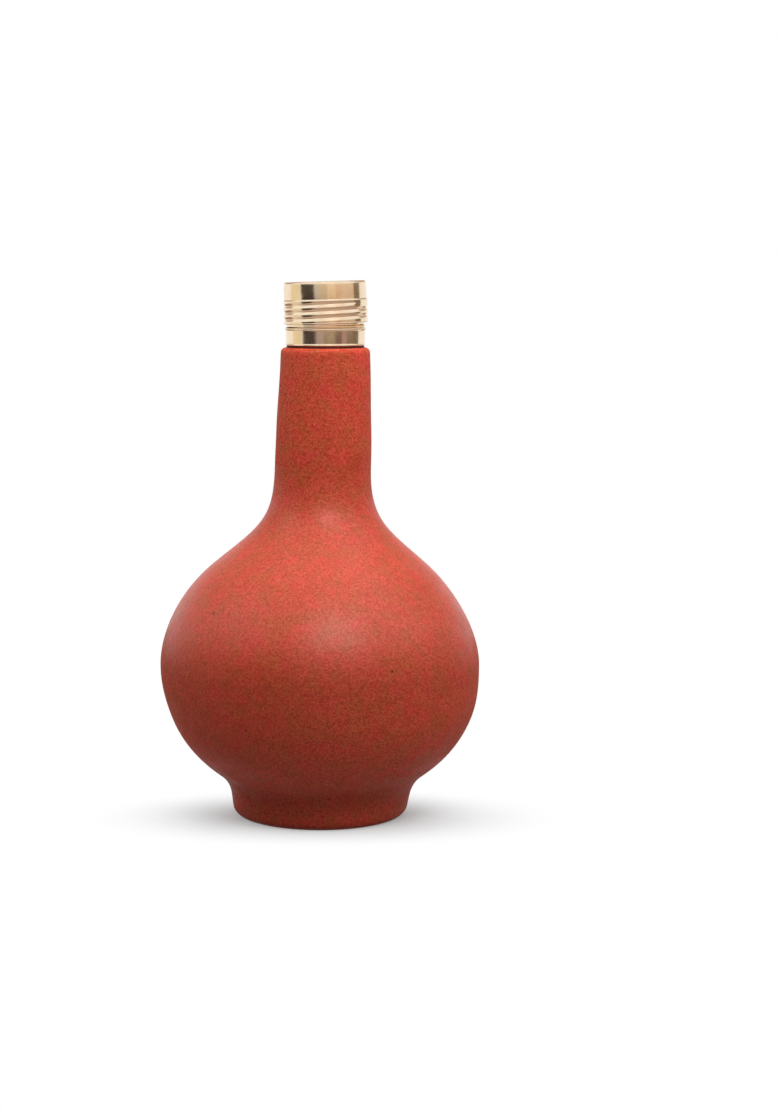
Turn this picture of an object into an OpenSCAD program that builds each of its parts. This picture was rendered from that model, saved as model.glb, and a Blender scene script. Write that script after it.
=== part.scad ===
// Long-necked clay water bottle with a rolled sheet-metal neck ring and screw cap.
// Frame: +Z up, origin on the table at the centre of the foot, millimetres.
// The clay body is one thrown wall of even thickness. Its neck ends in a spigot, and the
// threaded ring is bedded on that spigot. The cap is drawn from thin sheet, holds a soft
// sealing disc, and climbs one thread pitch for each turn to the left.

/* [Clay body] */
// Height of the clay lip above the table, without the spigot that the ring hides
lip_h = 206.4; // [196:0.1:225]
// Diameter of the belly at its widest
belly_d = 141; // [124:1:160]
// Height of the belly's widest place
belly_h = 67; // [60:0.5:74]
// Thickness of the clay wall
wall_t = 5.5; // [4:0.5:7]
// Thickness of the floor at its middle
floor_t = 7.5; // [5:0.5:10]

/* [Foot] */
// Diameter of the foot just above its rounded bottom edge
foot_d = 77.8; // [70:0.2:88]
// Height at which the lines of the foot and of the belly meet
foot_h = 14.6; // [12.5:0.1:17]
// How much further out that meeting is than the bottom of the foot
foot_flare = 1.9; // [0.5:0.1:3.5]
// Rounding of the foot's bottom edge
foot_edge_r = 4.2; // [2.5:0.1:5.5]
// Length of each line that the soft hollow between foot and belly takes up
crease_run = 6; // [3:0.1:7.5]
// Angle from level at which the belly leaves the foot
belly_rise = 39.2; // [35:0.2:46]

/* [Shoulder and neck] */
// Diameter where the shoulder's curve turns into the neck's
shoulder_d = 94.4; // [84:0.2:100]
// Height of that turn
shoulder_h = 111.2; // [106:0.1:120]
// Angle from level of the wall at that turn
shoulder_slope = 40.6; // [32:0.2:48]
// Diameter of the neck at its root
neck_d = 42.2; // [40.6:0.2:48]
// Height of the neck's root
neck_h = 154; // [146:0.5:160]
// Diameter of the lip
lip_d = 39; // [38:0.2:40.4]
// Rounding of the lip's outer edge
lip_edge_r = 2.3; // [1:0.1:3]

/* [Fullness of the curves] */
// Lower belly near the foot, as a share of the height from crease to widest place
low_fullness = 0.12; // [0.04:0.01:0.2]
// Lower belly near its widest place
low_belly_fullness = 0.67; // [0.5:0.01:0.74]
// Upper belly near its widest place, as a share of the height up to the shoulder's turn
top_belly_fullness = 0.35; // [0.25:0.01:0.5]
// Upper belly near the shoulder's turn
top_shoulder_fullness = 0.38; // [0.25:0.01:0.45]
// Shoulder above the turn, as a share of the height from the turn to the neck's root
neck_shoulder_fullness = 0.57; // [0.45:0.01:0.7]
// Shoulder near the neck's root
neck_root_fullness = 0.55; // [0.35:0.01:0.6]

/* [Mouth] */
// Diameter of the bore through the spigot
mouth_d = 24.4; // [19:0.2:25.4]
// Height, up to the lip, over which the neck's bore draws in to the mouth
throat_run = 9; // [6:0.5:14]
// Rounding of the spigot's top edges
spigot_edge_r = 1.1; // [0.9:0.1:1.4]

/* [Metal parts] */
// Thickness of the sheet in the ring and the cap
sheet_t = 0.5; // [0.4:0.05:0.6]
// Rise of the thread in one turn
thread_pitch = 2.9; // [2.5:0.1:3.2]
// Radial gap between the cap's grooves and the ring's ridges
thread_gap = 0.25; // [0.2:0.05:0.4]

/* [Neck ring] */
// Height of the ring from its lower rim to the top of its mouth
ring_h = 25.1; // [24:0.1:29]
// How far the ring's skirt lies inside the cap's smooth band
skirt_inset = 0.6; // [0.5:0.05:0.9]
// How far the ridges stand out from the ring's wall
ridge_rise = 0.4; // [0.2:0.05:0.5]
// How far the stop bead stands out from the skirt
bead_rise = 0.25; // [0.15:0.05:0.35]
// Height of the stop bead
bead_w = 1.5; // [1.2:0.1:2.2]
// Gap between the stop bead and the closed cap's rim
rim_gap = 1.5; // [0.8:0.1:2.2]
// Bend radius of the sheet at the ring's top, outside and inside the mouth
ring_bend_r = 1.2; // [1.1:0.05:1.4]
// Depth of the ring's lip inside the bore
ring_lip_run = 2.5; // [1.5:0.1:4]
// Radius of the rolled hem on the ring's lower rim
ring_hem_r = 0.42; // [0.35:0.01:0.5]

/* [Screw cap] */
// Diameter of the cap's smooth band
cap_d = 36; // [34:0.2:37]
// Height of the cap
cap_h = 18.1; // [17:0.1:20.5]
// Height of the smooth band above the grooves
band_h = 8; // [6.5:0.1:9]
// How far the ridges between the grooves stand out from the band
ridge_stand = 0.35; // [0.2:0.05:0.5]
// Depth of the rolled grooves
groove_depth = 0.6; // [0.45:0.05:0.7]
// Bend radius of the sheet at the top edge
cap_bend_r = 1.6; // [1:0.1:2]
// Plain height kept between the lowest groove and the rim
rim_h = 1.2; // [1:0.1:2.1]
// Radius of the rolled hem on the cap's rim
cap_hem_r = 0.3; // [0.28:0.01:0.34]

/* [Seal and bedding] */
// Thickness of the sealing disc
liner_t = 1.9; // [1.5:0.1:2.5]
// Gap left above and below the sealing disc
liner_gap = 0.1; // [0.05:0.05:0.3]
// Thickness of the bedding between the spigot and the ring's wall
bed_t = 0.5; // [0.35:0.05:0.8]
// Height of the bedding that shows between the clay lip and the ring
bed_show = 0.9; // [0.6:0.1:2]
// How far that bedding lies inside the ring's skirt
bed_inset = 0.5; // [0.3:0.1:1]
// Clearance around the bedding
bed_gap = 0.05; // [0.03:0.01:0.08]

/* [Hidden] */
turn_fn = 160;
hem_fn = 20;
curve_n = 12;
edge_n = 4;
wave_n = 4;
// How far a cutting shape reaches past what it cuts
over = 1;

// Colours
clay_colour = [0.74, 0.36, 0.27];
bed_colour = [0.24, 0.11, 0.08];
gold_colour = [0.86, 0.76, 0.58];
seal_colour = [0.92, 0.91, 0.88];

// Heights of the stack above the clay lip
ring_z = lip_h + bed_show;
ring_top = ring_z + ring_h;
liner_z = ring_top + liner_gap;
cap_top = liner_z + liner_t + liner_gap + sheet_t;
cap_rim = cap_top - cap_h;
band_z = cap_top - band_h;

// Radii of the cap, each at the middle of the sheet
half_t = sheet_t / 2;
cap_band_r = cap_d / 2 - half_t;
cap_ridge_r = cap_band_r + ridge_stand;
cap_groove_r = cap_ridge_r - groove_depth;

// Radii of the ring, each at the middle of the sheet
ring_ridge_r = cap_groove_r - sheet_t - thread_gap;
ring_wall_r = ring_ridge_r - ridge_rise;
ring_skirt_r = cap_d / 2 - skirt_inset - half_t;
ring_bead_r = ring_skirt_r + bead_rise;
ring_lip_r = mouth_d / 2 - 2 * bed_gap - half_t;

// Level grooves of the cap, counted down from the band, and the ridges that face each other.
// They stand in for the turns of one thread, one pitch apart.
groove_count = floor((cap_h - band_h - rim_h) / thread_pitch);
first_groove_z = band_z - thread_pitch / 5;
function groove_z(i) = first_groove_z - i * thread_pitch;
function ridge_z(i) = groove_z(i) - thread_pitch / 2;

// Stop bead under the closed cap
bead_z = cap_rim - rim_gap - bead_w / 2;

// Spigot that carries the ring
spigot_r = ring_wall_r - half_t - bed_t;
spigot_top = ring_top - sheet_t;

// Curves of the clay wall

// Point of a curve with four control points
function bez(c, t) =
    pow(1 - t, 3) * c[0] + 3 * pow(1 - t, 2) * t * c[1]
    + 3 * (1 - t) * t * t * c[2] + pow(t, 3) * c[3];

// Direction of that curve
function bez_way(c, t) =
    pow(1 - t, 2) * (c[1] - c[0]) + 2 * (1 - t) * t * (c[2] - c[1]) + t * t * (c[3] - c[2]);

// Point at a distance to the left of the curve, which is towards the axis on the way up
function bez_left(c, t, gap) =
    let (way = bez_way(c, t))
    bez(c, t) + gap * [-way[1], way[0]] / norm(way);

// Points along the curve without its first one, each moved to the left by the gap
function curve(c, gap = 0, n = curve_n) = [for (i = [1:n]) bez_left(c, i / n, gap)];

// Points of a round corner, by its centre and its first and last angle
function corner(centre, r, from, to, n = edge_n) =
    [for (i = [0:n]) let (a = from + (to - from) * i / n) centre + r * [cos(a), sin(a)]];

function unit(angle) = [cos(angle), sin(angle)];

// Foot: the bottom edge, the flared wall and the hollow under the belly
foot_r = foot_d / 2;
foot_lean = atan2(foot_flare, foot_h - foot_edge_r);
foot_way = unit(90 - foot_lean);
crease = [foot_r + foot_flare, foot_h];
crease_out = crease + crease_run * unit(belly_rise);
crease_curve = [
    crease - crease_run * foot_way,
    crease - crease_run / 3 * foot_way,
    crease + crease_run / 3 * unit(belly_rise),
    crease_out
];

// Belly, shoulder and neck, each a curve from its lower to its upper end
belly_point = [belly_d / 2, belly_h];
turn_point = [shoulder_d / 2, shoulder_h];
turn_way = unit(180 - shoulder_slope);
root_point = [neck_d / 2, neck_h];
low_span = belly_h - crease_out[1];
top_span = shoulder_h - belly_h;
neck_span = neck_h - shoulder_h;
neck_lean = atan2(neck_d - lip_d, lip_h - neck_h);
lip_centre = [lip_d / 2 - lip_edge_r, lip_h - lip_edge_r];
lip_start = lip_centre + lip_edge_r * unit(neck_lean);
// Angle between the neck's last point and the next one on the lip's rounding
lip_skip = 10;
neck_drop = (root_point[0] - lip_start[0]) / 3;
neck_step = (lip_start[1] - neck_h) / 3;

low_curve = [
    crease_out,
    crease_out + low_fullness * low_span * unit(belly_rise),
    belly_point - [0, low_belly_fullness * low_span],
    belly_point
];
top_curve = [
    belly_point,
    belly_point + [0, top_belly_fullness * top_span],
    turn_point - top_shoulder_fullness * top_span * turn_way,
    turn_point
];
shoulder_curve = [
    turn_point,
    turn_point + neck_shoulder_fullness * neck_span * turn_way,
    root_point - [0, neck_root_fullness * neck_span],
    root_point
];
neck_curve = [
    root_point,
    root_point + [0, neck_step],
    lip_start + [neck_drop, -neck_step],
    lip_start
];

// Cavity: a bowl-shaped floor, then the outer curves moved in by the wall.
// The bowl's reach and turn are shares of its depth.
bowl_reach = 1.7;
bowl_turn = 0.6;
bowl_start = bez_left(low_curve, 0, wall_t);
bowl_depth = bowl_start[1] - floor_t;
bowl_curve = [
    [bowl_start[0] - bowl_reach * bowl_depth, floor_t],
    [bowl_start[0] - bowl_reach / 2 * bowl_depth, floor_t],
    bowl_start - bowl_turn * bowl_depth * unit(belly_rise),
    bowl_start
];
throat_low = [lip_d / 2 - wall_t, lip_h - 2 * throat_run];
throat_top = [mouth_d / 2, lip_h - throat_run];
throat_curve = [
    throat_low,
    throat_low + [0, throat_run / 2],
    throat_top - [0, throat_run / 2],
    throat_top
];

function below(points, z) = [for (p = points) if (p[1] < z) p];

body_outline = concat(
    [[0, 0]],
    corner([foot_r - foot_edge_r, foot_edge_r], foot_edge_r, -90, -foot_lean),
    [crease_curve[0]],
    curve(crease_curve, 0, edge_n),
    curve(low_curve),
    curve(top_curve),
    curve(shoulder_curve),
    curve(neck_curve, 0, edge_n),
    corner(lip_centre, lip_edge_r, neck_lean + lip_skip, 90),
    [[spigot_r, lip_h]],
    corner([spigot_r - spigot_edge_r, spigot_top - spigot_edge_r], spigot_edge_r, 0, 90),
    [[0, spigot_top]]
);

cavity_outline = concat(
    [[0, floor_t], bowl_curve[0]],
    curve(bowl_curve, 0, edge_n),
    curve(low_curve, wall_t),
    curve(top_curve, wall_t),
    curve(shoulder_curve, wall_t),
    below(curve(neck_curve, wall_t, edge_n), throat_low[1] - throat_run / 2),
    [throat_low],
    curve(throat_curve, 0, edge_n),
    corner([mouth_d / 2 + spigot_edge_r, spigot_top - spigot_edge_r], spigot_edge_r, 180, 90),
    [[mouth_d / 2 + spigot_edge_r, spigot_top + over], [0, spigot_top + over]]
);

// Sheet metal: a path of [radius, height, direction], given its thickness

// Straight stretch in one direction
function run(from, to) =
    let (way = atan2(to[1] - from[1], to[0] - from[0]))
    [[from[0], from[1], way], [to[0], to[1], way]];

// Smooth step of the wall from one radius to another on the way up
function swell(r0, z0, r1, z1, n = wave_n) =
    [for (i = [1:n])
        let (t = i / n, slope = (r1 - r0) / (z1 - z0) * PI / 2 * sin(180 * t))
        [r0 + (r1 - r0) * (1 - cos(180 * t)) / 2, z0 + (z1 - z0) * t, atan2(1, slope)]];

// Round bend to the left, by its centre and its first and last angle
function bend(centre, r, from, to, n = edge_n) =
    [for (i = [1:n])
        let (a = from + (to - from) * i / n)
        [centre[0] + r * cos(a), centre[1] + r * sin(a), a + 90]];

function side(path, gap) = [for (p = path) [p[0] - gap * sin(p[2]), p[1] + gap * cos(p[2])]];
function reversed(list) = [for (i = [len(list) - 1:-1:0]) list[i]];

module sheet(path) {
    polygon(concat(side(path, -half_t), reversed(side(path, half_t))));
}

module turned() {
    rotate_extrude($fn = turn_fn)
        children();
}

// Ring: hem, skirt, stop bead, rolled ridges, wall, and the mouth bent over the spigot
ridge_low_z = ridge_z(groove_count - 1) - thread_pitch / 2;
ring_flat_z = ring_top - half_t;
ring_path = concat(
    run([ring_skirt_r, ring_z + ring_hem_r], [ring_skirt_r, bead_z - bead_w / 2]),
    swell(ring_skirt_r, bead_z - bead_w / 2, ring_bead_r, bead_z),
    swell(ring_bead_r, bead_z, ring_wall_r, bead_z + bead_w / 2 + rim_gap / 2),
    [[ring_wall_r, ridge_low_z, 90]],
    [for (i = [groove_count - 1:-1:0], point = concat(
        swell(ring_wall_r, ridge_z(i) - thread_pitch / 2, ring_ridge_r, ridge_z(i)),
        swell(ring_ridge_r, ridge_z(i), ring_wall_r, ridge_z(i) + thread_pitch / 2)
    )) point],
    [[ring_wall_r, ring_flat_z - ring_bend_r, 90]],
    bend([ring_wall_r - ring_bend_r, ring_flat_z - ring_bend_r], ring_bend_r, 0, 90),
    [[ring_lip_r + ring_bend_r, ring_flat_z, 180]],
    bend([ring_lip_r + ring_bend_r, ring_flat_z - ring_bend_r], ring_bend_r, 90, 180),
    [[ring_lip_r, ring_flat_z - ring_bend_r - ring_lip_run, 270]]
);

// Cap: hem, plain rim, rolled grooves, smooth band, top edge and flat top
cap_ridge_low_z = ridge_z(groove_count - 1);
cap_flat_z = cap_top - half_t;
cap_path = concat(
    run([cap_ridge_r, cap_rim + cap_hem_r], [cap_ridge_r, cap_ridge_low_z]),
    [for (i = [groove_count - 1:-1:0], point = concat(
        swell(cap_ridge_r, ridge_z(i), cap_groove_r, groove_z(i)),
        i == 0
            ? swell(cap_groove_r, groove_z(0), cap_band_r, band_z)
            : swell(cap_groove_r, groove_z(i), cap_ridge_r, ridge_z(i - 1))
    )) point],
    [[cap_band_r, cap_flat_z - cap_bend_r, 90]],
    bend([cap_band_r - cap_bend_r, cap_flat_z - cap_bend_r], cap_bend_r, 0, 90),
    [[0, cap_flat_z, 180]]
);

liner_r = cap_band_r - cap_bend_r;
bed_r = ring_skirt_r + half_t - bed_inset;
// The bedding ends a little below the spigot's rounded edge
bed_short = 1;
bed_top = spigot_top - spigot_edge_r - bed_short;
bed_sleeve_r = ring_wall_r - half_t - bed_gap;
bed_skirt_r = ring_skirt_r - ring_hem_r - bed_gap;
bed_skirt_top = bead_z - bead_w / 2;

module clay_bottle() {
    color(clay_colour)
        turned()
            difference() {
                polygon(body_outline);
                polygon(cavity_outline);
            }
}

// Bedding: the dark band that shows under the ring, and the thin sleeve inside it
module ring_adhesive() {
    color(bed_colour)
        turned()
            polygon([
                [spigot_r + bed_gap, lip_h],
                [bed_r, lip_h],
                [bed_r, ring_z - bed_gap],
                [bed_skirt_r, ring_z - bed_gap],
                [bed_skirt_r, bed_skirt_top],
                [bed_sleeve_r, bed_skirt_top],
                [bed_sleeve_r, bed_top],
                [spigot_r + bed_gap, bed_top]
            ]);
}

module neck_ring() {
    color(gold_colour)
        turned()
            union() {
                sheet(ring_path);
                translate([ring_skirt_r, ring_z + ring_hem_r])
                    circle(ring_hem_r, $fn = hem_fn);
            }
}

module cap_liner() {
    color(seal_colour)
        translate([0, 0, liner_z])
            cylinder(h = liner_t, r = liner_r, $fn = turn_fn);
}

module screw_cap() {
    color(gold_colour)
        turned()
            union() {
                sheet(cap_path);
                translate([cap_ridge_r, cap_rim + cap_hem_r])
                    circle(cap_hem_r, $fn = hem_fn);
            }
}

clay_bottle();
ring_adhesive();
neck_ring();
cap_liner();
screw_cap();
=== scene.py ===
"""Looks of a long-necked clay water bottle with a rolled metal neck ring and screw cap.

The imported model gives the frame. Every new piece is modelled here in metres around it.
"""

import logging
import math
from dataclasses import dataclass
from enum import Enum
from typing import Callable, Mapping, Sequence

import bmesh
import bpy
from mathutils import Matrix, Vector, noise


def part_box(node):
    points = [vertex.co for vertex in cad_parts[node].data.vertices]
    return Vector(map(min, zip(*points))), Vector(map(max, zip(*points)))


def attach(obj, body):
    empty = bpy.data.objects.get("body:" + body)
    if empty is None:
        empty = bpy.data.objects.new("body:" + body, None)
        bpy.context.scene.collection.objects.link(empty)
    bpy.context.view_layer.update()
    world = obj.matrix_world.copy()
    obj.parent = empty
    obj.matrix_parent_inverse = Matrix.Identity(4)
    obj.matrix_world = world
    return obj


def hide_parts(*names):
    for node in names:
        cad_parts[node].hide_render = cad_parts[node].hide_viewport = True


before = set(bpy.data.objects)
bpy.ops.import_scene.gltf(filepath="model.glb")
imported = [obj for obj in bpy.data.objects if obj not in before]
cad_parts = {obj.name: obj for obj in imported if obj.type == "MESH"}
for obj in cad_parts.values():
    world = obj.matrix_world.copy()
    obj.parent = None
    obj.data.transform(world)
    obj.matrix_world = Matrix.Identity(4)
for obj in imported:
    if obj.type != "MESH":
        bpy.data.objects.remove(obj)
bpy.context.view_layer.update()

MM = 0.001
TAU = 2 * math.pi
TOUCH = 1e-6
LOG = logging.getLogger("clay_bottle")

Point = tuple[float, float]
Place = tuple[float, float, float]
Colour = tuple[float, float, float]
Card = tuple[str, float, float, float, float, Colour]
Lamp = tuple[str, Place, Point, float, bool]
Shape = bmesh.types.BMesh
Finish = bpy.types.Material
Piece = bpy.types.Object


class Body(Enum):
    """Bodies of the frame that pieces ride on."""

    BOTTLE = "bottle"
    LINER = "liner"
    CAP = "cap"


class Slot(Enum):
    """Material slots of the record."""

    CLAY = "clay"
    BEDDING = "bedding"
    RING = "ring_metal"
    SEAL = "seal"
    CAP = "cap_metal"


# Shader maths


class Shade:
    """One value inside a material, with the operators of plain arithmetic."""

    def __init__(self, recipe: "Recipe", socket: bpy.types.NodeSocket) -> None:
        """Wraps a socket."""
        self.recipe = recipe
        self.socket = socket

    def _math(self, operation: str, first: "Entry", second: "Entry") -> "Shade":
        """Adds one Math node and returns its result."""
        return self.recipe.node("ShaderNodeMath", {"operation": operation}, {0: first, 1: second})

    def __add__(self, other: "Entry") -> "Shade":
        """Sum of two values."""
        return self._math("ADD", self, other)

    def __radd__(self, other: "Entry") -> "Shade":
        """Sum with a number on the left."""
        return self._math("ADD", other, self)

    def __sub__(self, other: "Entry") -> "Shade":
        """Difference of two values."""
        return self._math("SUBTRACT", self, other)

    def __rsub__(self, other: "Entry") -> "Shade":
        """A number less this value."""
        return self._math("SUBTRACT", other, self)

    def __mul__(self, other: "Entry") -> "Shade":
        """Product of two values."""
        return self._math("MULTIPLY", self, other)

    def __rmul__(self, other: "Entry") -> "Shade":
        """Product with a number on the left."""
        return self._math("MULTIPLY", other, self)

    def either(self, other: "Entry") -> "Shade":
        """The larger of two values."""
        return self._math("MAXIMUM", self, other)

    def within(self, low: float, high: float) -> "Shade":
        """Turns the stretch from low to high into 0 to 1, smoothly and clamped."""
        settings = {"interpolation_type": "SMOOTHSTEP"}
        return self.recipe.node(
            "ShaderNodeMapRange", settings, {"Value": self, "From Min": low, "From Max": high}
        )


Entry = Shade | float | Sequence[float]


class Recipe:
    """The node tree of a material or world while it is being put together."""

    def __init__(self, name: str, world: bool = False) -> None:
        """Starts an empty tree.

        Args:
            name: Name of the material or world.
            world: Whether a world is made.
        """
        self.owner = (bpy.data.worlds if world else bpy.data.materials).new(name)
        self.owner.use_nodes = True
        self.tree = self.owner.node_tree
        self.tree.nodes.clear()

    def node(
        self,
        kind: str,
        settings: Mapping[str, object] | None = None,
        inputs: Mapping[str | int, Entry] | None = None,
        output: str | int = 0,
    ) -> Shade:
        """Adds one node of any type.

        Args:
            kind: Blender's name of the node type.
            settings: Properties set before the sockets; "stops" sets a ramp's stops.
            inputs: Values or links by socket name or number.
            output: Socket that is returned.

        Returns:
            The chosen output, or None for a node that has none.
        """
        made = self.tree.nodes.new(kind)
        for key, value in (settings or {}).items():
            if key == "stops":
                self._set_stops(made, value)
            else:
                setattr(made, key, value)
        for key, value in (inputs or {}).items():
            if isinstance(value, Shade):
                self.tree.links.new(value.socket, made.inputs[key])
            else:
                made.inputs[key].default_value = value
        return Shade(self, made.outputs[output]) if made.outputs else None

    @staticmethod
    def _set_stops(ramp: bpy.types.Node, stops: Sequence[tuple[float, Colour]]) -> None:
        """Gives a colour ramp its stops."""
        elements = ramp.color_ramp.elements
        while len(elements) > 1:
            elements.remove(elements[-1])
        elements[0].position = stops[0][0]
        elements[0].color = (*stops[0][1], 1.0)
        for position, colour in stops[1:]:
            elements.new(position).color = (*colour, 1.0)

    def place(self) -> Shade:
        """Position on the piece in metres."""
        return self.node("ShaderNodeTexCoord", output="Object")

    def moved(self, **change: Sequence[float]) -> Shade:
        """Position on the piece after a change of Location or Scale."""
        return self.node("ShaderNodeMapping", None, {"Vector": self.place(), **change})

    def measure(self, operation: str, *vectors: Entry) -> Shade:
        """Number that a Vector Math node gives, such as a LENGTH or DISTANCE."""
        inputs = dict(enumerate(vectors))
        return self.node("ShaderNodeVectorMath", {"operation": operation}, inputs, "Value")

    def seen(self) -> Shade:
        """1 for rays from the camera, off a gloss or through glass, 0 for soft light."""
        camera, glossy, through = (
            self.node("ShaderNodeLightPath", output=f"Is {kind} Ray")
            for kind in ("Camera", "Glossy", "Transmission")
        )
        return camera.either(glossy).either(through)

    def turned(self, drift: float) -> Shade:
        """Position that changes with radius and height and hardly round the axis.

        Args:
            drift: Share of the plain position that is let in.

        Returns:
            The position.
        """
        radius = self.measure("LENGTH", self.moved(Scale=(1.0, 1.0, 0.0)))
        inputs = {0: radius + drift * self.axis(0), 1: drift * self.axis(1), 2: self.axis(2)}
        return self.node("ShaderNodeCombineXYZ", None, inputs)

    def cells(self, size: float, output: str) -> Shade:
        """One output of a texture of scattered cells with a mean size in metres."""
        inputs = {"Vector": self.place(), "Scale": 1 / size, "Randomness": 1.0}
        return self.node("ShaderNodeTexVoronoi", {"feature": "F1"}, inputs, output)

    def specks(self, spacing: float, inner: float, outer: float) -> Shade:
        """Specks at a mean spacing in metres, with core and edge as shares of it."""
        return 1 - self.cells(spacing, "Distance").within(inner, outer)

    def granules(self, size: float, channel: int) -> Shade:
        """Random value of each grain of sand, by mean size and channel 0 to 2."""
        return self.node("ShaderNodeSeparateColor", None, {0: self.cells(size, "Color")}, channel)

    def axis(self, index: int) -> Shade:
        """One coordinate of the position, 0 for X to 2 for Z."""
        return self.node("ShaderNodeSeparateXYZ", None, {0: self.place()}, index)

    def grain(self, size: float, detail: float = 2.0, at: Shade | None = None) -> Shade:
        """Noise from 0 to 1 with features of a size in metres."""
        inputs = {"Vector": at or self.place(), "Scale": 1 / size, "Detail": detail}
        return self.node("ShaderNodeTexNoise", None, inputs)

    def blend(self, factor: Entry, first: Entry, second: Entry, way: str = "MIX") -> Shade:
        """Mixes two colours.

        Args:
            factor: Share of the second colour.
            first: First colour.
            second: Second colour.
            way: Blend type of the Mix node.

        Returns:
            The mixed colour.
        """
        settings = {"data_type": "RGBA", "blend_type": way}
        inputs = {0: factor, 6: self.full(first), 7: self.full(second)}
        return self.node("ShaderNodeMix", settings, inputs, 2)

    @staticmethod
    def full(colour: Entry) -> Entry:
        """A plain colour with its alpha, or a link as it is."""
        if isinstance(colour, tuple) and len(colour) == 3:
            return (*colour, 1.0)
        return colour

    def layered(self, colour: Shade, layers: Sequence[tuple[Entry, Colour]]) -> Shade:
        """Lays colours one after the other over a first one."""
        for share, paint in layers:
            colour = self.blend(share, colour, paint)
        return colour

    def relief(self, height: Shade, depth: float, under: Shade | None = None) -> Shade:
        """Bump from a height value.

        Args:
            height: Height from 0 to 1.
            depth: Real height of 1 in metres.
            under: Normal of coarser relief below it.

        Returns:
            The bumped normal.
        """
        inputs: dict[str | int, Entry] = {"Height": height, "Distance": depth, "Strength": 1.0}
        if under is not None:
            inputs["Normal"] = under
        return self.node("ShaderNodeBump", None, inputs)

    def close(self, surface: Shade) -> Finish | bpy.types.World:
        """Ends the tree in its output node and returns the material or world."""
        kind = type(self.owner).__name__
        self.node(f"ShaderNodeOutput{kind}", None, {"Surface": surface})
        return self.owner

    def finish(self, inputs: Mapping[str | int, Entry]) -> Finish:
        """Closes the material with a Principled shader."""
        return self.close(self.node("ShaderNodeBsdfPrincipled", None, inputs))


# Finishes


@dataclass(frozen=True)
class Mottle:
    """Soft patches: a noise, cut to a window of its values and moved aside by its shift."""

    size: float
    octaves: float
    low: float
    high: float
    shift: float = 0.0
    aside: Place = (1.0, 0.7, 1.3)

    def on(self, mix: Recipe) -> Shade:
        """Strength of the patches in a material, from 0 to 1."""
        at = mix.moved(Location=[self.shift * share for share in self.aside])
        return mix.grain(self.size, self.octaves, at).within(self.low, self.high)


@dataclass(frozen=True)
class Spot:
    """A round mark at one place, full in its core and gone at its edge."""

    place: Place
    core: float
    edge: float

    def on(self, mix: Recipe) -> Shade:
        """Strength of the mark in a material, from 0 to 1."""
        return 1 - mix.measure("DISTANCE", mix.place(), self.place).within(self.core, self.edge)


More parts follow.
